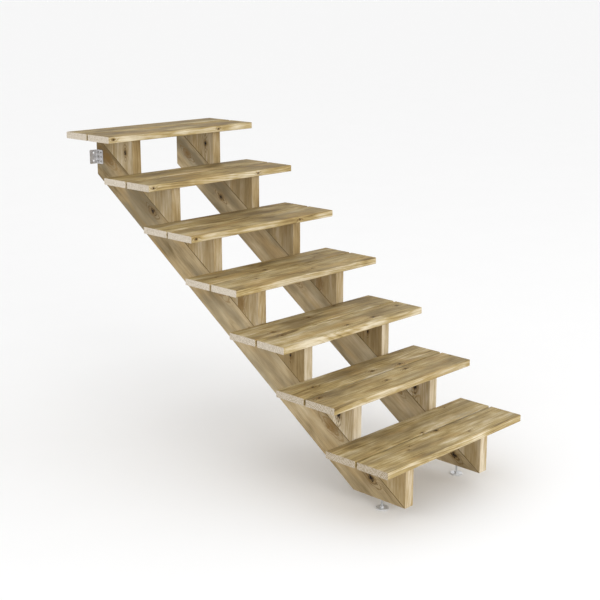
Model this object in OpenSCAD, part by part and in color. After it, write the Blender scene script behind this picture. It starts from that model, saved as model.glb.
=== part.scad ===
// Open-riser outdoor staircase of pressure-treated softwood.
// Two saw-tooth stringers, each a sloping plank with triangular step blocks
// on its upper edge, carry seven steps of two planks each. Threaded feet
// level the bottom and angle brackets fasten the top to a wall or deck.
// Frame: +X across the steps, +Y towards the wall, +Z up. The origin is the
// middle of the rear face of the left bracket's wall leg.

/* [Steps] */

// Which piece to draw, or all of them
// Length of each tread plank across the stair
tread_length = 830; // [500:5:1200]
// Width of the planks used for treads and stringers
plank_width = 145; // [120:1:170]
// Thickness of the tread planks
tread_thickness = 28; // [18:1:45]
// Drainage gap between the two planks of a step
tread_gap = 10; // [4:1:20]
// Height from one step to the next
rise = 176; // [140:1:200]
// Depth from one step front to the next
going = 258; // [210:1:290]
// Clearance between a step and the block front behind it
block_clearance = 4; // [2:1:15]

/* [Stringers] */

// Thickness of the stringer planks and their blocks
stringer_thickness = 45; // [30:1:70]
// Distance from the tread end to the outer face of a stringer
stringer_inset = 160; // [60:5:200]
// Height of the stringer's top corner above the bracket's middle
bracket_drop = 95; // [60:1:110]

/* [Feet] */

// Diameter of the threaded foot rods
rod_diameter = 8; // [6:0.5:12]
// Length of a foot rod from end to end
rod_length = 105; // [80:1:120]
// Height of the stringer's level cut above the ground
foot_height = 45; // [35:1:70]
// Diameter of the round foot plates
plate_diameter = 50; // [35:1:70]
// Thickness of the round foot plates
plate_thickness = 5; // [3:0.5:10]
// Diameter of the hub that takes the rod
hub_diameter = 16; // [13:0.5:24]
// Height of the hub above the ground
hub_height = 12; // [8:0.5:18]
// Thickness of metal left under the rod in the plate
rod_floor = 1; // [0.5:0.5:2]
// Clearance round a rod in its bore
rod_clearance = 0.2; // [0.1:0.1:0.5]
// Clearance above a rod in its bore
bore_clearance = 3; // [1:0.5:6]

/* [Brackets] */

// Width of the bracket leg against the wall
wall_leg = 40; // [30:1:70]
// Width of the bracket leg on the stringer
stringer_leg = 45; // [35:1:80]
// Height of the brackets
bracket_height = 62; // [50:1:75]
// Thickness of the bracket metal
bracket_thickness = 2.5; // [1.5:0.5:4]
// Diameter of the wall bolt holes
wall_hole = 8; // [5:0.5:10]
// Distance between the two wall bolt holes
wall_hole_spacing = 36; // [28:1:42]
// Diameter of the screw holes in the stringer leg
screw_hole = 5; // [3:0.5:6]
// Height between the screw hole rows
screw_hole_rows = 20; // [12:1:22]
// Distance between the screw hole columns
screw_hole_columns = 20; // [12:1:22]

/* [Hidden] */

$fn = 48;
step_count = 7;
rows = 3;
overcut = 1;

// Slope of the stair and the depths it gives the sloping planks
slope = rise / going;
pitch = atan(slope);
plumb_cut = plank_width / cos(pitch);
level_cut = plumb_cut / slope;

// Step front overhang, with the step ending short of the next block
step_depth = 2 * plank_width + tread_gap;
overhang = step_depth + block_clearance - going;

// The left stringer's outer face meets the inner end of the wall leg
left_x = wall_leg / 2;
stair_x = left_x - stringer_inset;
right_x = stair_x + tread_length - stringer_inset - stringer_thickness;
right_bracket_x = right_x + stringer_thickness + wall_leg / 2;

// The front face of the first block and the level cut under it
front_y = -step_count * going;
cut_z = bracket_drop - step_count * rise;
ground_z = cut_z - foot_height;

// Feet stand under the middle of the level cuts
foot_y = front_y + level_cut / 2;
rod_z = ground_z + rod_floor;
bore_top = rod_z + rod_length + bore_clearance;

// Brackets have their screw holes in the middle of the free leg
leg_middle = (stringer_leg + bracket_thickness) / 2;
bracket_corner = -wall_leg / 2;

// Turns a side profile, drawn along Y and Z, into a board of some thickness.
module side_board(x, thickness) {
    translate([x, 0, 0])
        rotate([90, 0, 90])
            linear_extrude(height = thickness)
                children();
}

// Sloping plank with a plumb cut at the wall, a level cut at the foot and
// a bore that takes the foot rod.
module stringer_plank(x) {
    difference() {
        side_board(x, stringer_thickness)
            polygon([
                [front_y, cut_z],
                [0, bracket_drop],
                [0, bracket_drop - plumb_cut],
                [front_y + level_cut, cut_z]
            ]);
        translate([x + stringer_thickness / 2, foot_y, cut_z - overcut])
            cylinder(
                h = bore_top - cut_z + overcut,
                d = rod_diameter + 2 * rod_clearance
            );
    }
}

// Triangular block with a level top and a plumb front.
module step_block(x, step) {
    front = front_y + (step - 1) * going;
    bottom = cut_z + (step - 1) * rise;
    side_board(x, stringer_thickness)
        polygon([
            [front, bottom],
            [front, bottom + rise],
            [front + going, bottom + rise]
        ]);
}

// One plank of a step: plank 0 is the front one and plank 1 the back one.
module tread_plank(step, plank) {
    front = front_y + (step - 1) * going - overhang;
    translate([
        stair_x,
        front + plank * (plank_width + tread_gap),
        cut_z + step * rise
    ])
        cube([tread_length, plank_width, tread_thickness]);
}

// Threaded rod between a foot plate and a stringer.
module foot_rod(x) {
    translate([x + stringer_thickness / 2, foot_y, rod_z])
        cylinder(h = rod_length, d = rod_diameter);
}

// Round plate with a hub on top that takes the rod.
module foot_plate(x) {
    translate([x + stringer_thickness / 2, foot_y, ground_z])
        difference() {
            union() {
                cylinder(h = plate_thickness, d = plate_diameter);
                cylinder(h = hub_height, d = hub_diameter);
            }
            translate([0, 0, rod_floor])
                cylinder(h = hub_height, d = rod_diameter + 2 * rod_clearance);
        }
}

// Angle bracket with its wall leg pointing to -X from the stringer's face,
// drawn round the middle of the wall leg's rear face.
module angle_bracket() {
    difference() {
        union() {
            translate([bracket_corner, -bracket_thickness, -bracket_height / 2])
                cube([wall_leg, bracket_thickness, bracket_height]);
            translate([
                -bracket_corner - bracket_thickness,
                -stringer_leg,
                -bracket_height / 2
            ])
                cube([bracket_thickness, stringer_leg, bracket_height]);
        }
        for (side = [-1, 1])
            translate([0, overcut, side * wall_hole_spacing / 2])
                rotate([90, 0, 0])
                    cylinder(h = bracket_thickness + 2 * overcut, d = wall_hole);
        for (side = [-1, 1], row = [0 : rows - 1])
            translate([
                -bracket_corner - bracket_thickness - overcut,
                -leg_middle + side * screw_hole_columns / 2,
                (row - (rows - 1) / 2) * screw_hole_rows
            ])
                rotate([0, 90, 0])
                    cylinder(h = bracket_thickness + 2 * overcut, d = screw_hole);
    }
}

// Pieces
module left_stringer() {
    color("Tan")
        stringer_plank(left_x);
}

module right_stringer() {
    color("Tan")
        stringer_plank(right_x);
}

module left_block_1() {
    color("BurlyWood")
        step_block(left_x, 1);
}

module left_block_2() {
    color("BurlyWood")
        step_block(left_x, 2);
}

module left_block_3() {
    color("BurlyWood")
        step_block(left_x, 3);
}

module left_block_4() {
    color("BurlyWood")
        step_block(left_x, 4);
}

module left_block_5() {
    color("BurlyWood")
        step_block(left_x, 5);
}

module left_block_6() {
    color("BurlyWood")
        step_block(left_x, 6);
}

module left_block_7() {
    color("BurlyWood")
        step_block(left_x, 7);
}

module right_block_1() {
    color("BurlyWood")
        step_block(right_x, 1);
}

module right_block_2() {
    color("BurlyWood")
        step_block(right_x, 2);
}

module right_block_3() {
    color("BurlyWood")
        step_block(right_x, 3);
}

module right_block_4() {
    color("BurlyWood")
        step_block(right_x, 4);
}

module right_block_5() {
    color("BurlyWood")
        step_block(right_x, 5);
}

module right_block_6() {
    color("BurlyWood")
        step_block(right_x, 6);
}

module right_block_7() {
    color("BurlyWood")
        step_block(right_x, 7);
}

module front_tread_1() {
    color("Wheat")
        tread_plank(1, 0);
}

module back_tread_1() {
    color("Wheat")
        tread_plank(1, 1);
}

module front_tread_2() {
    color("Wheat")
        tread_plank(2, 0);
}

module back_tread_2() {
    color("Wheat")
        tread_plank(2, 1);
}

module front_tread_3() {
    color("Wheat")
        tread_plank(3, 0);
}

module back_tread_3() {
    color("Wheat")
        tread_plank(3, 1);
}

module front_tread_4() {
    color("Wheat")
        tread_plank(4, 0);
}

module back_tread_4() {
    color("Wheat")
        tread_plank(4, 1);
}

module front_tread_5() {
    color("Wheat")
        tread_plank(5, 0);
}

module back_tread_5() {
    color("Wheat")
        tread_plank(5, 1);
}

module front_tread_6() {
    color("Wheat")
        tread_plank(6, 0);
}

module back_tread_6() {
    color("Wheat")
        tread_plank(6, 1);
}

module front_tread_7() {
    color("Wheat")
        tread_plank(7, 0);
}

module back_tread_7() {
    color("Wheat")
        tread_plank(7, 1);
}

module left_foot_rod() {
    color("Silver")
        foot_rod(left_x);
}

module right_foot_rod() {
    color("Silver")
        foot_rod(right_x);
}

module left_foot_plate() {
    color("Silver")
        foot_plate(left_x);
}

module right_foot_plate() {
    color("Silver")
        foot_plate(right_x);
}

module left_bracket() {
    color("Silver")
        angle_bracket();
}

module right_bracket() {
    color("Silver")
        translate([right_bracket_x, 0, 0])
            mirror([1, 0, 0])
                angle_bracket();
}

left_stringer();
right_stringer();
left_block_1();
left_block_2();
left_block_3();
left_block_4();
left_block_5();
left_block_6();
left_block_7();
right_block_1();
right_block_2();
right_block_3();
right_block_4();
right_block_5();
right_block_6();
right_block_7();
front_tread_1();
back_tread_1();
front_tread_2();
back_tread_2();
front_tread_3();
back_tread_3();
front_tread_4();
back_tread_4();
front_tread_5();
back_tread_5();
front_tread_6();
back_tread_6();
front_tread_7();
back_tread_7();
left_foot_rod();
right_foot_rod();
left_foot_plate();
right_foot_plate();
left_bracket();
right_bracket();
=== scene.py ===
"""Outdoor staircase of treated pine, with levelling feet, angle brackets, their screws and a studio."""

import functools
import math
import random

import bmesh
import bpy
from bpy.props import FloatProperty, FloatVectorProperty, IntProperty, PointerProperty
from mathutils import Matrix, Vector


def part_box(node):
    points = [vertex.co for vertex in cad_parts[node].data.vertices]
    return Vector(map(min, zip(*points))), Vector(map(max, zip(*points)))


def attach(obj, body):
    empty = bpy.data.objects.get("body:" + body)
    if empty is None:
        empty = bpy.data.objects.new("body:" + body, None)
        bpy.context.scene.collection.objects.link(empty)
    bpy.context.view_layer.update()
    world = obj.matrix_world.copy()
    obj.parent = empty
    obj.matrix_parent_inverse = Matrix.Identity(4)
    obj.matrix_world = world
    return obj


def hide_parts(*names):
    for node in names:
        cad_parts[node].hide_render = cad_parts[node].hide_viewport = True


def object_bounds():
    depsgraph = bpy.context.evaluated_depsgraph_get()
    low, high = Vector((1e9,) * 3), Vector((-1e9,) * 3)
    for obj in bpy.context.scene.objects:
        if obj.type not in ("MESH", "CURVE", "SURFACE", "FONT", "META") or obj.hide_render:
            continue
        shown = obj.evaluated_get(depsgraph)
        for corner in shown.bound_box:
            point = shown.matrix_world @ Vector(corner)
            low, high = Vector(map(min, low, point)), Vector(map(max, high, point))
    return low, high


bl_info = {
    "name": "Outdoor Staircase",
    "version": (1, 0, 0),
    "blender": (4, 5, 0),
    "location": "View3D > Sidebar > Staircase",
    "description": "Models and finishes an open-riser garden staircase round its construction frame",
    "category": "Object",
}

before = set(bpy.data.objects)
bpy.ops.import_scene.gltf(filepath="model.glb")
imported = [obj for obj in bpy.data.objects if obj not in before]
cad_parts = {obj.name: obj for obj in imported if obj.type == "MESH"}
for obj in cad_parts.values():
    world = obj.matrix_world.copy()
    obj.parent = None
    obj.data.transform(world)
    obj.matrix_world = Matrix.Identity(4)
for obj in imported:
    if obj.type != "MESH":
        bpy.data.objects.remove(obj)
CAD_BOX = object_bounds()

STEPS = range(1, 8)
SIDES = ("left", "right")
ROWS = ("front", "back")
X, Y, Z = Vector((1, 0, 0)), Vector((0, 1, 0)), Vector((0, 0, 1))
MM = 0.001


def linear(code):
    """An sRGB hex colour as linear red, green, blue and alpha."""
    parts = [int(code[i : i + 2], 16) / 255 for i in (1, 3, 5)]
    return [p / 12.92 if p <= 0.04045 else ((p + 0.055) / 1.055) ** 2.4 for p in parts] + [1.0]


def length(name, description, default):
    return FloatProperty(name=name, description=description, default=default, min=0.0, unit="LENGTH")


def colour(name, description, code):
    return FloatVectorProperty(
        name=name, description=description, default=linear(code), size=4, subtype="COLOR", min=0.0, max=1.0
    )


class StairSizes(bpy.types.PropertyGroup):
    """Sizes that the construction frame leaves to the finish."""

    tread_arris: length("Tread arris", "Radius planed along the long edges of the treads", 0.003)
    stringer_arris: length("Stringer arris", "Radius planed along the long edges of the stringers", 0.0025)
    sawn_edge: length("Sawn edge", "Chamfer left by sandpaper along the sawn ends", 0.0008)
    block_edge: length("Block edge", "Chamfer sanded round the step blocks", 0.0012)
    clearance: length("Rod clearance", "Play between a foot rod and its hole, all round", 0.0002)
    thread_pitch: length("Thread pitch", "Pitch of the foot rods' coarse metric thread", 0.00125)
    thread_depth: length("Thread depth", "Depth of the foot rods' thread", 0.00077)
    plate: length("Plate thickness", "Thickness of the foot plates round the hub", 0.005)
    hub: length("Plate hub", "Radius of the foot plates' hub", 0.008)
    rim_width: length("Plate rim", "Width of the raised rim round the foot plates", 0.003)
    rim_height: length("Plate rim height", "Height of the raised rim above the dished plate", 0.0008)
    sheet: length("Bracket sheet", "Thickness of the angle brackets' sheet", 0.0025)
    wall_hole: length("Wall hole", "Radius of the angle brackets' wall holes", 0.004)
    wall_spacing: length("Wall hole spacing", "Distance between the two wall holes of a bracket", 0.036)
    screw_hole: length("Screw hole", "Radius of the angle brackets' screw holes", 0.0025)
    screw_spacing: length("Screw spacing", "Distance between neighbouring screws of a bracket", 0.02)
    bend_radius: length("Bend radius", "Outer radius of the bend of the angle brackets", 0.004)
    bracket_corner: length("Bracket corner", "Radius of the angle brackets' punched corners", 0.004)
    screw_head: length("Screw head", "Diameter of the bracket screws' pan heads", 0.0088)
    screw_length: length("Screw length", "Length of the bracket screws under the head", 0.035)


class StairColours(bpy.types.PropertyGroup):
    """Colours of the woods, the zinc and the studio."""

    tread_deep: colour("Tread, deepest", "Dark streaks of the treads", "#6C5733")
    tread_body: colour("Tread, body", "Main colour of the treads", "#AC9664")
    tread_pale: colour("Tread, palest", "Pale streaks of the treads", "#DCD0B5")
    stringer_deep: colour("Stringer, deepest", "Dark streaks of the stringers", "#75623F")
    stringer_body: colour("Stringer, body", "Main colour of the stringers", "#B39E78")
    stringer_pale: colour("Stringer, palest", "Pale streaks of the stringers", "#D3C2A0")
    block_deep: colour("Block, deepest", "Dark streaks of the step blocks", "#775F36")
    block_body: colour("Block, body", "Main colour of the step blocks", "#A89166")
    block_pale: colour("Block, palest", "Pale front edges of the step blocks", "#DED2BA")
    weathered: colour("Weathered patches", "Grey-brown patches that treated pine gets outdoors", "#867A61")
    end_grain: colour("End grain", "Dry, pale wood of the sawn ends", "#DDD3C3")
    end_pores: colour("End pores", "Open pores and late wood of the sawn ends", "#87734F")
    golden: colour("Golden patches", "Warm patches where the resin shows", "#B8955A")
    halo: colour("Knot halo", "Stained wood in and round the knots", "#7F5F2C")
    knot: colour("Knots", "Resin-dark heart and rim of the knots", "#120903")
    zinc: colour("Zinc", "Zinc plating", "#DADCDE")
    sheet: colour("Bracket zinc", "Zinc plating of the brackets' rolled sheet", "#C6C5C6")
    screw: colour("Screw zinc", "Dull zinc plating of the bracket screws", "#8A8683")
    floor: colour("Floor", "Studio floor", "#F8F8F8")


class StairSeeds(bpy.types.PropertyGroup):
    """What makes each board different from the next."""

    boards: IntProperty(
        name="Boards", description="Picks how each board was cut from its log", default=4, min=0
    )


def chosen(context):
    """Sizes and colours set in the panel."""
    return context.scene.stair_sizes, context.scene.stair_colours


# ---------------- modelling


def pick(obj, kind, wanted):
    """Opens edit mode with only the vertices, edges or faces selected that wanted accepts."""
    bpy.context.view_layer.objects.active = obj
    bpy.ops.object.mode_set(mode="EDIT")
    bpy.ops.mesh.select_mode(type=kind)
    bpy.ops.mesh.select_all(action="DESELECT")
    mesh = bmesh.from_edit_mesh(obj.data)
    mesh.normal_update()
    for part in {"VERT": mesh.verts, "EDGE": mesh.edges, "FACE": mesh.faces}[kind]:
        part.select_set(bool(wanted(part)))
    bmesh.update_edit_mesh(obj.data)


def done():
    bpy.ops.object.mode_set(mode="OBJECT")


def placed(name):
    """Names the new primitive and puts its place in its mesh."""
    obj = bpy.context.object
    obj.name = obj.data.name = name
    bpy.ops.object.transform_apply(location=True, rotation=True, scale=True)
    return obj


def start_box(name, low, high):
    bpy.ops.object.select_all(action="DESELECT")
    bpy.ops.mesh.primitive_cube_add(size=1, location=(low + high) / 2, scale=high - low)
    return placed(name)


def start_cylinder(name, middle, radius, depth, vertices, rotation=(0, 0, 0)):
    bpy.ops.object.select_all(action="DESELECT")
    bpy.ops.mesh.primitive_cylinder_add(
        vertices=vertices, radius=radius, depth=depth, location=middle, rotation=rotation
    )
    return placed(name)


def bevel(obj, offset, segments, wanted):
    pick(obj, "EDGE", wanted)
    bpy.ops.mesh.bevel(offset=offset, segments=segments, affect="EDGES", clamp_overlap=True)
    done()


def cut(obj, point, normal, remove=False):
    """Cuts the mesh along a plane, and takes away what lies on the normal's side if asked."""
    pick(obj, "FACE", lambda face: True)
    bpy.ops.mesh.bisect(
        plane_co=point, plane_no=normal, use_fill=remove, clear_outer=remove, threshold=0.001 * MM
    )
    done()


def face_outward(obj):
    """Turns all faces outward."""
    pick(obj, "FACE", lambda face: True)
    bpy.ops.mesh.normals_make_consistent(inside=False)
    done()


def apply_modifier(obj, kind, **settings):
    bpy.context.view_layer.objects.active = obj
    modifier = obj.modifiers.new(kind.lower(), kind)
    for name, value in settings.items():
        setattr(modifier, name, value)
    bpy.ops.object.modifier_apply(modifier=modifier.name)


def bore(obj, *cutters):
    """Cuts each cutter's shape out of obj."""
    for cutter in cutters:
        apply_modifier(obj, "BOOLEAN", operation="DIFFERENCE", solver="EXACT", object=cutter)
        bpy.data.objects.remove(cutter)


def copied(source, name, offset):
    """A copy with its own mesh, moved by offset."""
    obj = source.copy()
    obj.data = source.data.copy()
    obj.name = obj.data.name = name
    obj.data.transform(Matrix.Translation(offset))
    bpy.context.scene.collection.objects.link(obj)
    return obj


def smooth(obj, degrees=40):
    """Shades the rounded edges smooth and keeps the broad faces flat."""
    bpy.ops.object.select_all(action="DESELECT")
    obj.select_set(True)
    bpy.context.view_layer.objects.active = obj
    bpy.ops.object.shade_smooth_by_angle(angle=math.radians(degrees))
    apply_modifier(obj, "WEIGHTED_NORMAL", keep_sharp=True)


def hand_over(obj, material, node=None):
    """Gives the finished piece its material and its body, and hides the node that it stands for."""
    obj.data.materials.clear()
    obj.data.materials.append(material)
    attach(obj, "root")
    if node:
        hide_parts(node)


def along(edge, direction):
    span = edge.verts[1].co - edge.verts[0].co
    return abs(span.normalized().dot(direction)) > 0.999


def at(part, direction, value):
    """Whether all of an edge or a face lies at that distance along direction."""
    return all(abs(v.co.dot(direction) - value) < 1e-5 for v in part.verts)


# ---------------- boards

# Painted shade and dirt: what an edge loses in paleness where it lies in the shade of a seam and holds dirt
PAINTED_SHADE_AND_DIRT = -0.7
# The share of a board's weathering that its clean fronts have
CLEAN = 0.25
BOARD_WIDTH = 0.145
# Stands in for the knot of a board that has none, nine metres away
NO_KNOT = (9, 9, MM, "face")


class Board:
    """How a sawn board lies in a piece, how it was cut from its log and where its knots are.

    Knots are (place along, place across or through, radius, kind), from the board's corner. A "face" or
    "edge" knot shows there, and the saw only skimmed past a "buried" one, which leaves stained rings.
    Lift, how much paler it is, and grey are given at places spread evenly along its run.
    """

    def __init__(self, origin, directions, seed, knots=(), lift=(0.0,), grey=(0.5,)):
        rng = random.Random(f"{bpy.context.scene.stair_seeds.boards} {seed}")
        self.origin, self.directions = origin, directions
        self.knots = sorted(knots)
        lighter = rng.uniform(-0.07, 0.07)
        self.lift, self.grey = [value + lighter for value in lift], grey
        # The pith lies beside most boards, so that growth lines run straight along their faces and slant
        # across their ends. One board in four was cut right over the pith and shows long arches.
        beside = rng.uniform(0.015, 0.07)
        across = rng.choice((beside, -BOARD_WIDTH - beside))
        if rng.random() < 0.25:
            across = -rng.uniform(0.03, 0.115)
        down_the_log = rng.uniform(1, 40)
        through = rng.choice((0.03, -0.075)) + rng.uniform(-0.02, 0.02)
        self.shift = Vector((down_the_log, across, through))

    def place(self, point):
        return Vector((point - self.origin).dot(d) for d in self.directions)

    def cuts(self):
        """Points between neighbouring knots, where the mesh is cut so that each part has one knot."""
        for one, two in zip(self.knots, self.knots[1:]):
            yield self.origin + self.directions[0] * (one[0] + two[0]) / 2


def scattered(seed, run, width, spacing, smallest, largest):
    """Knots spread along a board at about that spacing."""
    rng = random.Random(f"knots {bpy.context.scene.stair_seeds.boards} {seed}")
    found, place = [], spacing * rng.uniform(0.2, 1.0)
    while place < run:
        size = smallest + (largest - smallest) * rng.random() ** 2
        found.append((place, width * rng.uniform(0.1, 0.9), size, "face"))
        place += spacing * rng.uniform(0.5, 1.5)
    return found


def spread_along(values, share):
    """The value at that share of the way along a row of values."""
    place = min(1, max(0, share)) * (len(values) - 1)
    first = min(int(place), max(0, len(values) - 2))
    one, two = values[first], values[min(first + 1, len(values) - 1)]
    return one + (two - one) * (place - first)


def mark_grain(obj, boards, board_of=lambda centre: 0, face_tone=lambda face: (0.0, 1.0), run=1.0):
    """Writes each corner's place in its board, its nearest knot and its tone, which the wood's pattern reads.

    face_tone says how much paler a face is than its board, and how much of the board's weathering it has.
    """
    mesh = obj.data
    grain, knot, tone = [], [], []
    for face in mesh.polygons:
        board = boards[board_of(face.center)]
        middle = board.place(face.center)
        nearest = min(board.knots, key=lambda k: abs(k[0] - middle.x), default=NO_KNOT)
        is_end = float(abs(face.normal.dot(board.directions[0])) > 0.5)
        lift, weathering = face_tone(face)
        for index in face.vertices:
            here = board.place(mesh.vertices[index].co)
            aside = here.z if nearest[3] == "edge" else here.y
            # A minus before its radius tells the pattern that a knot is buried
            radius = -nearest[2] if nearest[3] == "buried" else nearest[2]
            grain.extend(here + board.shift)
            knot.extend((here.x - nearest[0], aside - nearest[1], radius))
            share = here.x / run
            paler = spread_along(board.lift, share) + lift
            worn = spread_along(board.grey, share) * weathering
            tone.extend((paler, worn, is_end))
    for name, values in (("grain", grain), ("knot", knot), ("tone", tone)):
        mesh.attributes.new(name, "FLOAT_VECTOR", "CORNER").data.foreach_set("vector", values)


# ---------------- materials


def node(tree, kind, inputs=(), out=0, stops=(), **settings):
    """Adds a node with its settings, sets or links its inputs and returns one output."""
    made = tree.nodes.new("ShaderNode" + kind)
    for name, value in settings.items():
        setattr(made, name, value)
    for place, colour in stops:
        new = place not in (0, 1)
        stop = made.color_ramp.elements.new(place) if new else made.color_ramp.elements[-place]
        stop.color = colour
    for key, value in dict(inputs).items():
        if isinstance(value, bpy.types.NodeSocket):
            tree.links.new(value, made.inputs[key])
        else:
            made.inputs[key].default_value = value
    return made.outputs[out] if len(made.outputs) else made


def empty_material(name):
    """A new material and a function that adds nodes to it."""
    material = bpy.data.materials.new(name)
    material.use_nodes = True
    material.node_tree.nodes.clear()
    return material, functools.partial(node, material.node_tree)


def pine(name, deep, body, pale, colours, ring=6.0, lines=0.3, blotches=1.6, streaks=1.25, stains=0.5):
    """Pressure-treated pine, planed on the long faces and sawn at the ends.

    The eye sees olive-tan wood with fine growth lines, long darker streaks where the copper salts went deep,
    grey-brown blotches, dark knots that the lines flow round, and dry pale ends with ring arcs. It is matt.
    """
    material, add = empty_material(name)
    grain = add("Attribute", attribute_name="grain", out="Vector")
    knot = add("Attribute", attribute_name="knot", out="Vector")
    tone = add("Attribute", attribute_name="tone", out="Vector")
    lift, grey, is_end = add("SeparateXYZ", {0: tone}).node.outputs
    size = add("SeparateXYZ", {0: knot}, out=2)
    heart = add("Math", {0: size, 1: 0.0}, operation="GREATER_THAN")
    size = add("Math", {0: size}, operation="ABSOLUTE")
    smoothly = {"interpolation_type": "SMOOTHSTEP"}

    # The pith wanders by one or two centimetres over a metre, and no two years grew alike
    stretched = add("VectorMath", {0: grain, 1: (1.1, 0.0, 0.0)}, operation="MULTIPLY")
    wander = add("TexNoise", {"Vector": stretched, "Scale": 1.0, "Detail": 1.0}, out="Color")
    wander = add(
        "VectorMath", {0: wander, 1: (0.0, 0.09, 0.07), 2: (0.0, -0.045, -0.035)}, operation="MULTIPLY_ADD"
    )
    from_pith = add("VectorMath", {0: grain, 1: wander}, operation="ADD")
    from_pith = add("VectorMath", {0: from_pith, 1: (0.0, 1.0, 1.0)}, operation="MULTIPLY")
    radius = add("VectorMath", {0: from_pith}, operation="LENGTH", out="Value")
    stretched = add("VectorMath", {0: grain, 1: (3.0, 18.0, 18.0)}, operation="MULTIPLY")
    uneven = add("TexNoise", {"Vector": stretched, "Scale": 1.0, "Detail": 2.0})
    radius = add("Math", {0: uneven, 1: 0.008, 2: radius}, operation="MULTIPLY_ADD")

    # Growth lines bow round a knot, further along the grain than across it
    spread = add("CombineXYZ", {0: size, 1: size, 2: size})
    in_sizes = add("VectorMath", {0: knot, 1: spread}, operation="DIVIDE")
    bow = add("VectorMath", {0: in_sizes, 1: (0.20, 0.36, 0.0)}, operation="MULTIPLY")
    bow = add("VectorMath", {0: bow, 1: bow}, operation="DOT_PRODUCT", out="Value")
    bow = add("Math", {0: bow, 1: -1.0}, operation="MULTIPLY")
    near = add("Math", {0: bow}, operation="EXPONENT")
    reach = add("Math", {0: near, 1: size}, operation="MULTIPLY")
    radius = add("Math", {0: reach, 1: 2.4, 2: radius}, operation="MULTIPLY_ADD")

    # Each year darkens from its pale spring wood to a narrow dark line
    years = add("Math", {0: radius, 1: ring * MM}, operation="DIVIDE")
    year = add("Math", {0: years}, operation="FLOOR")
    strong = add("TexWhiteNoise", {"W": year}, noise_dimensions="1D")
    strong = add("Math", {0: strong, 1: 0.6, 2: 0.4}, operation="MULTIPLY_ADD")
    strong = add("Math", {0: near, 1: 0.9, 2: strong}, operation="MULTIPLY_ADD")
    phase = add("Math", {0: years}, operation="FRACT")
    rise = add("MapRange", {0: phase, 1: 0.40, 2: 0.90}, **smoothly)
    fall = add("MapRange", {0: phase, 1: 1.00, 2: 0.92}, **smoothly)
    line = add("Math", {0: rise, 1: fall}, operation="MULTIPLY")
    line = add("Math", {0: line, 1: strong}, operation="MULTIPLY")

    # Blotches are about 220 mm by 75 mm, streaks 200 mm by 12 mm and the finest lines 70 mm by 3 mm.
    # The lines are about twice as coarse as real ones, so that they show from five metres away.
    stretched = add("VectorMath", {0: grain, 1: (4.5, 13.0, 13.0)}, operation="MULTIPLY")
    blotch = add(
        "TexNoise", {"Vector": stretched, "Scale": 1.0, "Detail": 3.0, "Roughness": 0.55, "Distortion": 0.4}
    )
    stretched = add("VectorMath", {0: grain, 1: (5.0, 80.0, 80.0)}, operation="MULTIPLY")
    streak = add("TexNoise", {"Vector": stretched, "Scale": 1.0, "Detail": 4.0, "Roughness": 0.6})
    stretched = add("VectorMath", {0: grain, 1: (14.0, 330.0, 330.0)}, operation="MULTIPLY")
    fine = add("TexNoise", {"Vector": stretched, "Scale": 1.0, "Detail": 3.0})
    # Fibres are drawn in bundles 0.7 mm wide and 20 mm long, because single ones are too fine to show
    stretched = add("VectorMath", {0: grain, 1: (50.0, 1400.0, 1400.0)}, operation="MULTIPLY")
    fibre = add("TexNoise", {"Vector": stretched, "Scale": 1.0, "Detail": 2.0})

    # All of these together say how pale the wood is, from 0 to 1
    strengths = ((blotch, blotches), (streak, streaks), (fine, streaks * 0.55), (fibre, 0.35))
    shade = 0.56 - 0.5 * sum(strength for _, strength in strengths)
    for pattern, strength in strengths:
        shade = add("Math", {0: pattern, 1: strength, 2: shade}, operation="MULTIPLY_ADD")
    shade = add("Math", {0: line, 1: -lines, 2: shade}, operation="MULTIPLY_ADD")
    shade = add("Math", {0: shade, 1: lift}, operation="ADD")
    between = [b + (p - b) * 0.45 for b, p in zip(body, pale)]
    wood = add("ValToRGB", {0: shade}, stops=((0, deep), (0.5, body), (0.75, between), (1, pale)))
    stretched = add("VectorMath", {0: grain, 1: (3.3, 13.0, 13.0)}, operation="MULTIPLY")
    cloud = add("TexNoise", {"Vector": stretched, "Scale": 1.0, "Detail": 4.0})
    weather = add("MapRange", {0: cloud, 1: 0.42, 2: 0.62}, **smoothly)
    weather = add("Math", {0: weather, 1: grey}, operation="MULTIPLY")
    wood = add("Mix", {0: weather, 6: wood, 7: colours.weathered}, data_type="RGBA", out=2)
    stain = add("MapRange", {0: cloud, 1: 0.56, 2: 0.70, 4: stains}, **smoothly)
    aged = add("Math", {0: grey, 1: 4.0}, operation="MULTIPLY", use_clamp=True)
    stain = add("Math", {0: stain, 1: aged}, operation="MULTIPLY")
    wood = add("Mix", {0: stain, 6: wood, 7: deep}, data_type="RGBA", out=2)
    stretched = add(
        "VectorMath", {0: grain, 1: (4.0, 14.0, 14.0), 2: (7.0, 0.0, 0.0)}, operation="MULTIPLY_ADD"
    )
    warm = add("TexNoise", {"Vector": stretched, "Scale": 1.0, "Detail": 4.0})
    warm = add("MapRange", {0: warm, 1: 0.50, 2: 0.68, 4: 0.32}, **smoothly)
    warm = add("Math", {0: warm, 1: aged}, operation="MULTIPLY")
    wood = add("Mix", {0: warm, 6: wood, 7: colours.golden}, data_type="RGBA", out=2)

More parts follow.
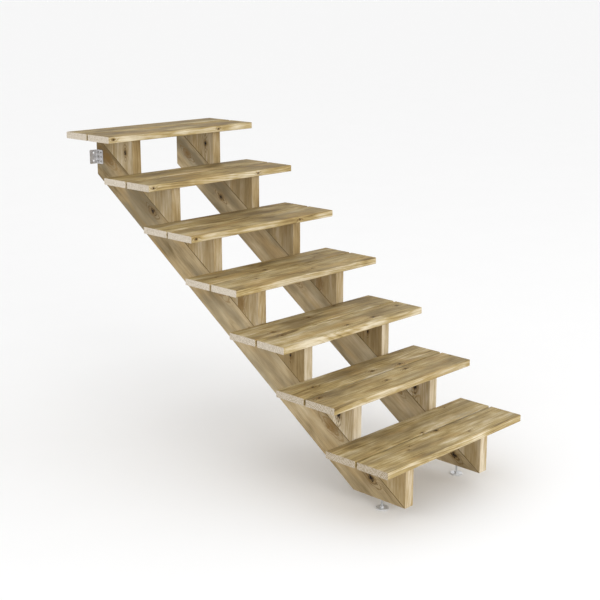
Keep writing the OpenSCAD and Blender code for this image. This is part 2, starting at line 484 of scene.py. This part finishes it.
    # Long arches of stained growth lines stand round a knot, rather less than its radius apart
    stretched = add("VectorMath", {0: grain, 1: (30.0, 60.0, 60.0)}, operation="MULTIPLY")
    bent = add("TexNoise", {"Vector": stretched, "Scale": 1.0, "Detail": 1.0}, out="Color")
    bent = add("VectorMath", {0: bent, 1: (2.4, 1.8, 0.0), 2: (-1.2, -0.9, 0.0)}, operation="MULTIPLY_ADD")
    arch = add("VectorMath", {0: in_sizes, 1: bent}, operation="ADD")
    arch = add("VectorMath", {0: arch, 1: (0.30, 0.95, 0.0)}, operation="MULTIPLY")
    arch = add("VectorMath", {0: arch}, operation="LENGTH", out="Value")
    arches = add("Math", {0: arch, 1: 8.5}, operation="MULTIPLY")
    arches = add("Math", {0: arches}, operation="SINE")
    arches = add("MapRange", {0: arches, 1: -0.2, 2: 1.0, 4: 0.6}, **smoothly)
    reached = add("MapRange", {0: arch, 1: 2.8, 2: 1.3}, **smoothly)
    arches = add("Math", {0: arches, 1: reached}, operation="MULTIPLY")
    arches = add("Math", {0: arches, 1: streak}, operation="MULTIPLY")
    arches = add("Math", {0: arches, 1: 1.8}, operation="MULTIPLY", use_clamp=True)
    wood = add("Mix", {0: arches, 6: wood, 7: colours.halo}, data_type="RGBA", out=2)
    closest = add("MapRange", {0: arch, 1: 2.1, 2: 1.2, 4: 0.8}, **smoothly)
    closest = add("Math", {0: closest, 1: arches}, operation="MULTIPLY")
    closest = add("Math", {0: closest, 1: heart}, operation="MULTIPLY")
    wood = add("Mix", {0: closest, 6: wood, 7: colours.knot}, data_type="RGBA", out=2)
    # The knot itself is ragged: a resin-dark heart and broken rim, brown between them, in a stained halo
    stretched = add("VectorMath", {0: grain, 1: (110.0, 170.0, 170.0)}, operation="MULTIPLY")
    ragged = add(
        "TexNoise", {"Vector": stretched, "Scale": 1.0, "Detail": 2.5, "Roughness": 0.6}, out="Color"
    )
    ragged = add(
        "VectorMath", {0: ragged, 1: (2.6, 2.2, 0.0), 2: (-1.3, -1.1, 0.0)}, operation="MULTIPLY_ADD"
    )
    away = add("VectorMath", {0: in_sizes, 1: ragged}, operation="ADD")
    away = add("VectorMath", {0: away, 1: (0.7, 1.0, 0.0)}, operation="MULTIPLY")
    away = add("VectorMath", {0: away}, operation="LENGTH", out="Value")
    halo = add("MapRange", {0: away, 1: 2.6, 2: 0.9, 4: 0.6}, **smoothly)
    wood = add("Mix", {0: halo, 6: wood, 7: colours.halo}, data_type="RGBA", out=2)
    inside = add("MapRange", {0: away, 1: 1.2, 2: 0.95}, **smoothly)
    inside = add("Math", {0: inside, 1: heart}, operation="MULTIPLY")
    dark = add("Math", {0: away, 1: 0.72}, operation="SUBTRACT")
    dark = add("Math", {0: dark}, operation="ABSOLUTE")
    dark = add("MapRange", {0: dark, 1: 0.04, 2: 0.20, 3: 0.3, 4: 1.0}, **smoothly)
    dark = add("Math", {0: dark, 1: inside}, operation="MULTIPLY")
    wood = add("Mix", {0: dark, 6: wood, 7: colours.knot}, data_type="RGBA", out=2)

    # Sawn ends show the rings as arcs, and the pores soak up light unevenly. The pores are drawn in patches
    # 5 mm across that break up into finer ones, because real ones of 0.2 mm are too fine to show.
    stretched = add("VectorMath", {0: grain, 1: (60.0, 210.0, 210.0)}, operation="MULTIPLY")
    pores = add("TexNoise", {"Vector": stretched, "Scale": 1.0, "Detail": 6.0, "Roughness": 0.7})
    pores = add("MapRange", {0: pores, 1: 0.38, 2: 0.72, 4: 0.5}, **smoothly)
    arcs = add("Math", {0: line, 1: 0.45, 2: pores}, operation="MULTIPLY_ADD")
    arcs = add("Math", {0: arcs, 1: lift}, operation="SUBTRACT", use_clamp=True)
    ends = add("Mix", {0: arcs, 6: colours.end_grain, 7: colours.end_pores}, data_type="RGBA", out=2)
    wood = add("Mix", {0: is_end, 6: wood, 7: ends}, data_type="RGBA", out=2)

    relief = add("Math", {0: line, 1: -0.5, 2: fibre}, operation="MULTIPLY_ADD")
    relief = add("Math", {0: inside, 1: 0.5, 2: relief}, operation="MULTIPLY_ADD")
    bump = add("Bump", {"Strength": 0.55, "Distance": 0.0004, "Height": relief})
    rough = add("Math", {0: line, 1: -0.1, 2: 0.58}, operation="MULTIPLY_ADD")
    rough = add("Math", {0: fibre, 1: 0.2, 2: rough}, operation="MULTIPLY_ADD")
    surface = add("BsdfPrincipled", {
        "Base Color": wood, "Roughness": rough, "Normal": bump, "IOR": 1.45, "Specular IOR Level": 0.25,
    })
    add("OutputMaterial", {0: surface})
    return material


def zinc(name, tint, mottle, roughness):
    """Steel with electroplated zinc, rolled or turned before plating.

    The eye sees a cool, slightly cloudy grey metal: bright, but with soft and broken reflections.
    """
    material, add = empty_material(name)
    place = add("TexCoord", out="Object")
    # The mottle is drawn 1 to 3 mm across, because a plating's own crystals are too fine to show
    crystal = add("TexVoronoi", {"Vector": place, "Scale": 1 / mottle}, out="Color")
    crystal = add("SeparateXYZ", {0: crystal})
    cloud = add("TexNoise", {"Vector": place, "Scale": 90.0, "Detail": 4.0})
    dull = add("MapRange", {0: cloud, 1: 0.35, 2: 0.70, 4: 0.3})
    paler = [1 - (1 - c) * 0.6 for c in tint]
    darker = [c * 0.78 for c in tint[:3]] + [1.0]
    plate = add("Mix", {0: crystal, 6: tint, 7: paler}, data_type="RGBA", out=2)
    plate = add("Mix", {0: dull, 6: plate, 7: darker}, data_type="RGBA", out=2)
    rough = add("Math", {0: crystal, 1: 0.12, 2: roughness}, operation="MULTIPLY_ADD")
    rough = add("Math", {0: dull, 1: 0.5, 2: rough}, operation="MULTIPLY_ADD")
    bump = add("Bump", {"Strength": 0.25, "Distance": 0.0001, "Height": cloud})
    surface = add(
        "BsdfPrincipled", {"Base Color": plate, "Metallic": 1.0, "Roughness": rough, "Normal": bump}
    )
    add("OutputMaterial", {0: surface})
    return material


def pale_floor(name, tint):
    """Matt painted studio floor: plain and pale, with a trace of roller texture."""
    material, add = empty_material(name)
    place = add("TexCoord", out="Object")
    roller = add("TexNoise", {"Vector": place, "Scale": 3.0, "Detail": 3.0})
    darker = [c * 0.985 for c in tint[:3]] + [1.0]
    paint = add("Mix", {0: roller, 6: tint, 7: darker}, data_type="RGBA", out=2)
    surface = add("BsdfPrincipled", {"Base Color": paint, "Roughness": 0.9, "Specular IOR Level": 0.1})
    add("OutputMaterial", {0: surface})
    return material


# ---------------- pieces


class STAIR_OT_treads(bpy.types.Operator):
    """Plane and lay the fourteen tread planks"""

    bl_idname = "stair.treads"
    bl_label = "Treads"

    # Small round knots on the front edges of the upper planks and pin knots on the lowest ones
    EDGE_KNOTS = ((0.025, 0.015, 3.6 * MM, "edge"), (0.62, 0.014, 3.4 * MM, "edge"))
    FACE_KNOTS = {
        "front_tread_1": (
            (0.222, 0.085, 2.6 * MM, "face"), (0.252, 0.107, 2.2 * MM, "face"),
            (0.453, 0.137, 5.5 * MM, "face"), (0.538, 0.041, 3.2 * MM, "face"),
        ),
        "back_tread_1": ((0.398, 0.006, 3.4 * MM, "face"), (0.69, 0.12, 2.5 * MM, "face")),
    }
    # The tops are darker on the higher steps, and all front edges are equally pale
    LIFT = {1: -0.03, 2: -0.03, 3: -0.04, 4: -0.08, 5: -0.18, 6: -0.18, 7: -0.22}
    # Painted light: the front edges are painted paler than the tops, as lit from the front
    FRONT_PAINTED_LIGHT_AND_SHADE = 0.14
    # The sawn ends start from the first, gain the second with each step and grow no paler than the last
    END_LIFT, END_GAIN, END_PALEST = -0.43, 0.12, 0.02
    KNOT_SPACING = 0.24
    KNOT_SIZES = (3 * MM, 7 * MM)

    @classmethod
    def face_tone(cls, face, step):
        """Front edges are painted paler than the tops, as lit from the front, and are cleaner than them; the
        ends are paler on the higher steps.
        """
        if abs(face.normal.x) > 0.5:
            return min(cls.END_PALEST, cls.END_GAIN * step + cls.END_LIFT) - cls.LIFT[step], 1.0
        if face.normal.y < -0.9:
            return cls.FRONT_PAINTED_LIGHT_AND_SHADE - cls.LIFT[step], CLEAN
        return 0.0, 1.0

    def execute(self, context):
        sizes, colours = chosen(context)
        wood = pine(
            "treated pine, planed treads", colours.tread_deep, colours.tread_body, colours.tread_pale, colours
        )
        low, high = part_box("front_tread_1")
        plank = start_box("tread_plank", low, high)
        bevel(plank, sizes.tread_arris, 4, lambda edge: along(edge, X))
        bevel(plank, sizes.sawn_edge, 2, lambda edge: at(edge, X, low.x) or at(edge, X, high.x))
        for step in STEPS:
            for row in ROWS:
                name = f"{row}_tread_{step}"
                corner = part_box(name)[0]
                tread = copied(plank, name + "_plank", corner - low)
                if step > 4:
                    knots = self.EDGE_KNOTS
                else:
                    knots = self.FACE_KNOTS.get(name) or scattered(
                        name, high.x - low.x, high.y - low.y, self.KNOT_SPACING, *self.KNOT_SIZES
                    )
                board = Board(corner, (X, Y, Z), name, knots, (self.LIFT[step],), (0.35,))
                for point in board.cuts():
                    cut(tread, point, X)
                mark_grain(tread, [board], face_tone=functools.partial(self.face_tone, step=step))
                smooth(tread)
                hand_over(tread, wood, name)
        bpy.data.objects.remove(plank)
        return {"FINISHED"}


class STAIR_OT_stringers(bpy.types.Operator):
    """Saw, plane and bore the two sloping stringers"""

    bl_idname = "stair.stringers"
    bl_label = "Stringers"

    # How pale and how grey the boards are, at places spread evenly from foot to wall
    LIFT = {"left": (-0.18, 0.11, 0.1, -0.2, -0.4), "right": (0.03, 0.12, 0.12, 0.02, 0.1)}
    GREY = (0.25, 0.85)
    KNOTS = {
        "left": (
            (0.179, 0.034, 10 * MM, "face"), (0.437, 0.022, 14 * MM, "buried"),
            (0.942, 0.027, 8 * MM, "face"), (1.199, 0.018, 12 * MM, "buried"),
            (1.703, 0.028, 9 * MM, "face"), (2.069, 0.034, 14 * MM, "buried"),
        ),
        "right": (
            (0.127, 0.036, 9 * MM, "face"), (0.485, 0.032, 8 * MM, "buried"),
            (0.93, 0.055, 7 * MM, "face"), (1.196, 0.062, 10 * MM, "buried"),
            (1.763, 0.075, 8 * MM, "face"), (2.056, 0.057, 10 * MM, "buried"),
        ),
    }

    def execute(self, context):
        sizes, colours = chosen(context)
        wood = pine(
            "treated pine, planed stringers", colours.stringer_deep, colours.stringer_body,
            colours.stringer_pale, colours, lines=0.14, blotches=1.7, streaks=0.6,
        )
        low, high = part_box("left_stringer")
        plank_low, plank_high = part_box("front_tread_1")
        width = plank_high.y - plank_low.y
        slope = Vector((0, high.y - low.y, high.z - low.z)).normalized()
        downward = Vector((0, slope.z, -slope.y))
        stringer = start_box("stringer", low, high)
        cut(stringer, low, -downward, remove=True)
        cut(stringer, low + downward * width, downward, remove=True)
        bevel(stringer, sizes.stringer_arris, 4, lambda edge: along(edge, slope))
        bevel(stringer, sizes.sawn_edge, 2, lambda edge: at(edge, Y, high.y) or at(edge, Z, low.z))
        rod_low, rod_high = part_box("left_foot_rod")
        middle = (rod_low + rod_high) / 2
        radius = (rod_high.x - rod_low.x) / 2 + sizes.clearance
        drill = start_cylinder("drill", middle, radius, rod_high.z - rod_low.z, vertices=48)
        bore(stringer, drill)

        def arris_tone(face):
            """The planed arris along the blocks is darkened with painted shade where it lies in the seam, and
            for the dirt it holds.
            """
            return PAINTED_SHADE_AND_DIRT * (0.15 < face.normal.dot(-downward) < 0.95), 1.0

        for side in SIDES:
            name = side + "_stringer"
            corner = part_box(name)[0]
            piece = copied(stringer, name + "_board", corner - low)
            board = Board(corner, (slope, downward, X), name, self.KNOTS[side], self.LIFT[side], self.GREY)
            for point in board.cuts():
                cut(piece, point, slope)
            mark_grain(piece, [board], face_tone=arris_tone, run=(high - low).length)
            smooth(piece)
            hand_over(piece, wood, name)
        bpy.data.objects.remove(stringer)
        return {"FINISHED"}


class STAIR_OT_blocks(bpy.types.Operator):
    """Saw the fourteen triangular step blocks"""

    bl_idname = "stair.blocks"
    bl_label = "Step blocks"

    # Each block is glued up from two upright boards, and the joint lies this far behind its front
    JOINTS = {1: 0.145, 2: 0.128, 3: 0.082, 4: 0.120, 5: 0.113, 6: 0.078, 7: 0.140}
    KNOTS = {
        2: ((0.108, 0.077, 9 * MM, "face"),),
        3: ((0.113, 0.078, 5 * MM, "face"),),
        4: ((0.098, 0.100, 12 * MM, "buried"),),
        7: ((0.115, 0.052, 7 * MM, "face"),),
    }
    # How pale each step's block is on its sides and on its front
    LIFT = {1: 0.0, 2: 0.16, 3: -0.2, 4: 0.07, 5: 0.02, 6: -0.02, 7: 0.1}
    # Painted light and painted shadow: the fronts are painted paler, as lit from the front, and the higher
    # ones darker, as shaded by the planks above
    FRONT_PAINTED_LIGHT_AND_SHADE = {1: 0.16, 2: 0.26, 3: 0.3, 4: 0.07, 5: 0.03, 6: -0.02, 7: 0.0}

    @classmethod
    def face_tone(cls, face, step):
        """The fronts are cleaner and painted paler, as lit from the front, the higher ones less so as painted
        shadow of the planks above, and the edges along the stringer get painted shade and dirt.
        """
        if face.normal.y < -0.9:
            return cls.FRONT_PAINTED_LIGHT_AND_SHADE[step] - cls.LIFT[step], CLEAN
        # Painted shade and dirt along the edges that meet the stringer
        along_stringer = face.normal.z < -0.1 and abs(face.normal.x) > 0.05
        return PAINTED_SHADE_AND_DIRT if along_stringer else 0.0, 1.0

    def execute(self, context):
        sizes, colours = chosen(context)
        wood = pine(
            "treated pine, sawn step blocks", colours.block_deep, colours.block_body, colours.block_pale,
            colours, lines=0.18, blotches=1.0, streaks=0.75,
        )
        low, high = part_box("left_block_1")
        slope = Vector((0, high.y - low.y, high.z - low.z)).normalized()
        below = Vector((0, slope.z, -slope.y))
        block = start_box("block", low, high)
        cut(block, low, below, remove=True)
        bevel(block, sizes.block_edge, 2, lambda edge: True)
        for side in SIDES:
            for step in STEPS:
                name = f"{side}_block_{step}"
                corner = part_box(name)[0]
                piece = copied(block, name + "_wedge", corner - low)
                joint = corner + Y * self.JOINTS[step]
                cut(piece, joint, Y)
                lift = self.LIFT[step]
                front = Board(corner, (Z, Y, X), name + " front", self.KNOTS.get(step, ()), (lift,), (0.1,))
                rear = Board(joint, (Z, Y, X), name + " rear", (), (lift - 0.04,), (0.4,))
                for point in front.cuts():
                    cut(piece, point, Z)
                mark_grain(
                    piece, [front, rear], lambda centre: int(centre.y > joint.y),
                    functools.partial(self.face_tone, step=step),
                )
                smooth(piece)
                hand_over(piece, wood, name)
        bpy.data.objects.remove(block)
        return {"FINISHED"}


def thread(name, start, points, pitch, turns, steps):
    """Winds a profile, drawn as (outward, upward) points from start, into a screw thread round the origin."""
    bpy.ops.object.select_all(action="DESELECT")
    bpy.ops.mesh.primitive_plane_add(size=MM, location=(start[0], 0, start[1]))
    obj = placed(name)
    pick(obj, "VERT", lambda vert: True)
    bpy.ops.mesh.merge(type="CENTER")
    for outward, upward in points:
        bpy.ops.mesh.extrude_region_move(TRANSFORM_OT_translate={"value": (outward, 0, upward)})
    done()
    apply_modifier(
        obj, "SCREW", axis="Z", angle=math.tau, screw_offset=pitch, iterations=turns, steps=steps,
        render_steps=steps,
    )
    # Each turn meets the next along a seam
    pick(obj, "VERT", lambda vert: True)
    bpy.ops.mesh.remove_doubles(threshold=0.01 * MM)
    done()
    return obj


class STAIR_OT_foot_rods(bpy.types.Operator):
    """Cut the threaded rods of the two levelling feet"""

    bl_idname = "stair.foot_rods"
    bl_label = "Foot rods"

    def execute(self, context):
        sizes, colours = chosen(context)
        metal = zinc("zinc-plated steel, rolled thread", colours.zinc, mottle=0.0012, roughness=0.3)
        low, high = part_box("left_foot_rod")
        radius, pitch, depth = (high.x - low.x) / 2, sizes.thread_pitch, sizes.thread_depth
        turns = math.ceil((high.z - low.z) / pitch) + 2
        flank, crest = pitch * 0.42, pitch * 0.08
        profile = ((depth, flank), (0, crest), (-depth, flank), (0, crest))
        # The thread starts a hair off a whole turn, so that no corner lies just where the ends are sawn
        rod = thread("rod", (radius - depth, -1.01 * pitch), profile, pitch, turns, steps=24)
        rod.data.transform(Matrix.Translation(Vector(((low.x + high.x) / 2, (low.y + high.y) / 2, low.z))))
        cut(rod, high, Z, remove=True)
        cut(rod, low, -Z, remove=True)
        middle = (low + high) / 2
        # The ends are turned to a short chamfer
        narrowed = 0.82
        for end in (low.z, high.z):
            pick(rod, "FACE", lambda face: at(face, Z, end))
            bpy.ops.transform.resize(
                value=(narrowed, narrowed, 1), center_override=(middle.x, middle.y, end)
            )
            done()
        face_outward(rod)
        for side in SIDES:
            name = side + "_foot_rod"
            piece = copied(rod, name + "_thread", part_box(name)[0] - low)
            smooth(piece, 50)
            hand_over(piece, metal, name)
        bpy.data.objects.remove(rod)
        return {"FINISHED"}


class STAIR_OT_foot_plates(bpy.types.Operator):
    """Press the round plates of the two levelling feet"""

    bl_idname = "stair.foot_plates"
    bl_label = "Foot plates"

    def execute(self, context):
        sizes, colours = chosen(context)
        metal = zinc("zinc-plated steel, pressed plate", colours.zinc, mottle=0.0025, roughness=0.34)
        low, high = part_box("left_foot_plate")
        rod_low, rod_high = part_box("left_foot_rod")
        middle = (low + high) / 2
        radius = (high.x - low.x) / 2
        hub, thick, hole = sizes.hub, sizes.plate, (rod_high.x - rod_low.x) / 2 + sizes.clearance
        plate = start_cylinder("plate", (middle.x, middle.y, low.z + thick / 2), radius, thick, vertices=64)
        top = low.z + thick
        pick(plate, "FACE", lambda face: at(face, Z, top))
        bpy.ops.mesh.inset(thickness=sizes.rim_width)
        bpy.ops.mesh.inset(thickness=sizes.rim_height)
        bpy.ops.transform.translate(value=(0, 0, -sizes.rim_height))
        bpy.ops.mesh.inset(thickness=radius - sizes.rim_width - sizes.rim_height - hub)
        bpy.ops.mesh.extrude_region_move(
            TRANSFORM_OT_translate={"value": (0, 0, high.z - top + sizes.rim_height)}
        )
        bpy.ops.mesh.inset(thickness=hub - hole)
        bpy.ops.mesh.extrude_region_move(TRANSFORM_OT_translate={"value": (0, 0, rod_low.z - high.z)})
        done()

        def round_at(distance, height):
            """Edges of the ring at that distance from the axis and that height."""
            def wanted(edge):
                return at(edge, Z, height) and all(
                    abs((v.co - middle).xy.length - distance) < 0.01 * MM for v in edge.verts
                )
            return wanted

        for distance, height, rounding, segments in (
            (radius, top, 0.7, 3), (radius, low.z, 0.7, 3), (hub, high.z, 0.9, 3),
            (hub, top - sizes.rim_height, 1.2, 3), (hole, high.z, 0.5, 2),
        ):
            bevel(plate, rounding * MM, segments, round_at(distance, height))
        for side in SIDES:
            name = side + "_foot_plate"
            piece = copied(plate, name + "_disc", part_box(name)[0] - low)
            smooth(piece)
            hand_over(piece, metal, name)
        bpy.data.objects.remove(plate)
        return {"FINISHED"}


def screw_places(side, sizes):
    """The six screw holes in a bracket's stringer leg, and the direction in which the screws go in."""
    low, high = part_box(side + "_bracket")
    into = X if side == "left" else -X
    face = (high.x if side == "left" else low.x) - into.x * sizes.sheet
    middle = Vector((face, (low.y + high.y - sizes.sheet) / 2, (low.z + high.z) / 2))
    return [
        middle + Y * column * sizes.screw_spacing + Z * row * sizes.screw_spacing
        for column in (-0.5, 0.5) for row in (-1, 0, 1)
    ], into


class STAIR_OT_brackets(bpy.types.Operator):
    """Punch and bend the two angle brackets"""

    bl_idname = "stair.brackets"
    bl_label = "Angle brackets"

    def execute(self, context):
        sizes, colours = chosen(context)
        metal = zinc("zinc-plated steel, bent sheet", colours.sheet, mottle=0.003, roughness=0.36)
        low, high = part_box("left_bracket")
        thick = sizes.sheet
        middle = (low + high) / 2
        fold = high.x - thick
        angle = start_box("bracket", Vector((low.x, high.y - thick, low.z)), high)
        cut(angle, Vector((fold, 0, 0)), X)
        pick(angle, "FACE", lambda face: at(face, Y, high.y - thick) and face.calc_center_median().x > fold)
        bpy.ops.mesh.extrude_region_move(TRANSFORM_OT_translate={"value": (0, low.y - high.y + thick, 0)})
        done()
        bevel(angle, sizes.bend_radius, 6, lambda e: along(e, Z) and at(e, X, high.x) and at(e, Y, high.y))
        bevel(
            angle, sizes.bend_radius - thick + 0.5 * MM, 4,
            lambda e: along(e, Z) and at(e, X, fold) and at(e, Y, high.y - thick),
        )
        bevel(angle, sizes.bracket_corner, 5, lambda e: along(e, Y) and at(e, X, low.x))
        bevel(angle, sizes.bracket_corner, 5, lambda e: along(e, X) and at(e, Y, low.y))
        cutters = [
            start_cylinder(
                "punch", (middle.x, high.y, middle.z + up * sizes.wall_spacing), sizes.wall_hole, 8 * thick,
                vertices=32, rotation=(math.pi / 2, 0, 0),
            )
            for up in (-0.5, 0.5)
        ]
        holes, _ = screw_places("left", sizes)
        cutters += [
            start_cylinder("punch", hole, sizes.screw_hole, 8 * thick, 24, rotation=(0, math.pi / 2, 0))
            for hole in holes
        ]
        bore(angle, *cutters)
        pick(angle, "VERT", lambda vert: True)
        bpy.ops.mesh.remove_doubles(threshold=0.005 * MM)
        bpy.ops.mesh.dissolve_degenerate(threshold=0.005 * MM)
        done()
        for side in SIDES:
            name = side + "_bracket"
            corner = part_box(name)[0]
            piece = copied(angle, name + "_angle", corner - low)
            if side == "right":
                there = X * (corner.x + (high.x - low.x) / 2)
                mirror = Matrix.Translation(there) @ Matrix.Scale(-1, 4, X) @ Matrix.Translation(-there)
                piece.data.transform(mirror)
                face_outward(piece)
            smooth(piece)
            hand_over(piece, metal, name)
        bpy.data.objects.remove(angle)
        return {"FINISHED"}


class STAIR_OT_bracket_screws(bpy.types.Operator):
    """Turn the pan-head screws that hold the brackets to the stringers"""

    bl_idname = "stair.bracket_screws"
    bl_label = "Bracket screws"

    def execute(self, context):
        sizes, colours = chosen(context)
        metal = zinc("zinc-plated steel, turned screw", colours.screw, mottle=0.001, roughness=0.32)
        core, head, reach = 1.6 * MM, sizes.screw_head / 2, sizes.screw_length
        tip, head_height, dome = 5 * MM, 2.4 * MM, 1.5 * MM
        # The screw is modelled pointing down from the head's seat at the origin
        screw = start_cylinder("screw", (0, 0, (tip - reach) / 2), core, reach - tip, vertices=24)
        pick(screw, "FACE", lambda face: at(face, Z, tip - reach))
        bpy.ops.mesh.extrude_region_move(TRANSFORM_OT_translate={"value": (0, 0, -tip)})
        bpy.ops.transform.resize(value=(0.06, 0.06, 1), center_override=(0, 0, -reach))
        done()
        pick(screw, "FACE", lambda face: at(face, Z, 0))
        bpy.ops.mesh.extrude_region_move(TRANSFORM_OT_translate={"value": (0, 0, 0)})
        bpy.ops.transform.resize(value=(head / core, head / core, 1), center_override=(0, 0, 0))
        bpy.ops.mesh.extrude_region_move(TRANSFORM_OT_translate={"value": (0, 0, head_height)})
        done()
        bevel(screw, dome, 5, lambda e: at(e, Z, head_height))
        # The driver's cross: half its length, half its width and the height of its floor
        arm, half, floor = 2.1 * MM, 0.4 * MM, 1.0 * MM
        slots = [
            start_box("driver", Vector((-a, -b, floor)), Vector((a, b, 4 * MM)))
            for a, b in ((arm, half), (half, arm))
        ]
        bore(screw, *slots)
        ridge = thread(
            "ridge", (core - 0.2 * MM, tip - reach + 1 * MM),
            ((0.85 * MM, 0.35 * MM), (-0.85 * MM, 0.35 * MM), (0, -0.7 * MM)),
            pitch=2.0 * MM, turns=11, steps=16,
        )
        pick(ridge, "FACE", lambda face: True)
        bpy.ops.mesh.fill_holes(sides=0)
        done()
        face_outward(ridge)
        bpy.ops.object.select_all(action="DESELECT")
        ridge.select_set(True)
        screw.select_set(True)
        bpy.context.view_layer.objects.active = screw
        bpy.ops.object.join()
        for side in SIDES:
            places, into = screw_places(side, sizes)
            turn = (-Z).rotation_difference(into).to_matrix().to_4x4()
            for number, place in enumerate(places, 1):
                piece = copied(screw, f"{side}_bracket_screw_{number}", (0, 0, 0))
                piece.data.transform(
                    Matrix.Translation(place) @ turn @ Matrix.Rotation(number * 0.7, 4, "Z")
                )
                smooth(piece, 35)
                hand_over(piece, metal)
        bpy.data.objects.remove(screw)
        return {"FINISHED"}


class STAIR_OT_studio(bpy.types.Operator):
    """Set up the floor, the light and the camera"""

    bl_idname = "stair.studio"
    bl_label = "Studio"

    def execute(self, context):
        scene = context.scene
        low, high = CAD_BOX
        bpy.ops.object.select_all(action="DESELECT")
        bpy.ops.mesh.primitive_plane_add(size=800, location=(0, 0, low.z))
        floor = placed("studio_floor")
        floor.data.materials.append(pale_floor("painted studio floor, matt", scene.stair_colours.floor))

        world = bpy.data.worlds.new("soft studio light")
        scene.world = world
        world.use_nodes = True
        background = world.node_tree.nodes["Background"]
        background.inputs["Color"].default_value = (1.0, 1.0, 1.0, 1.0)
        background.inputs["Strength"].default_value = 1.0

        # One large softbox in front, a little to the left of the stair
        middle = (low + high) / 2
        place = middle + Vector((-2.0, -9.5, 2.6))
        bpy.ops.object.light_add(type="AREA", location=place)
        box = context.object
        box.name = "front_softbox"
        box.data.shape = "RECTANGLE"
        box.data.size, box.data.size_y = 5.0, 3.0
        box.data.energy = 340.0
        box.rotation_euler = (middle - place).to_track_quat("-Z", "Y").to_euler()

        bpy.ops.object.camera_add(
            location=(-3.1346, -4.3174, 0.7028),
            rotation=(math.radians(90 - 14.56), 0, math.radians(-45.949)),
        )
        camera = context.object
        camera.name = "camera"
        camera.data.sensor_width = 36.0
        camera.data.lens = 70.64
        camera.data.clip_end = 1000.0
        scene.camera = camera
        scene.view_settings.view_transform = "Standard"
        return {"FINISHED"}


class STAIR_PT_panel(bpy.types.Panel):
    """Lists the steps that make the staircase"""

    bl_idname = "STAIR_PT_panel"
    bl_label = "Outdoor Staircase"
    bl_space_type = "VIEW_3D"
    bl_region_type = "UI"
    bl_category = "Staircase"

    def draw(self, context):
        for group in (context.scene.stair_sizes, context.scene.stair_colours, context.scene.stair_seeds):
            column = self.layout.column(align=True)
            for name in group.__annotations__:
                column.prop(group, name)
        for operator in OPERATORS:
            self.layout.operator(operator.bl_idname)


GROUPS = {"stair_sizes": StairSizes, "stair_colours": StairColours, "stair_seeds": StairSeeds}
OPERATORS = (
    STAIR_OT_treads, STAIR_OT_stringers, STAIR_OT_blocks, STAIR_OT_foot_rods, STAIR_OT_foot_plates,
    STAIR_OT_brackets, STAIR_OT_bracket_screws, STAIR_OT_studio,
)


def register():
    for kind in (*GROUPS.values(), *OPERATORS, STAIR_PT_panel):
        bpy.utils.register_class(kind)
    for name, group in GROUPS.items():
        setattr(bpy.types.Scene, name, PointerProperty(type=group))


def unregister():
    for name in GROUPS:
        delattr(bpy.types.Scene, name)
    for kind in reversed((*GROUPS.values(), *OPERATORS, STAIR_PT_panel)):
        bpy.utils.unregister_class(kind)


def main():
    register()
    bpy.ops.stair.treads()
    bpy.ops.stair.stringers()
    bpy.ops.stair.blocks()
    bpy.ops.stair.foot_rods()
    bpy.ops.stair.foot_plates()
    bpy.ops.stair.brackets()
    bpy.ops.stair.bracket_screws()
    bpy.ops.stair.studio()


if __name__ == "__main__":
    main()
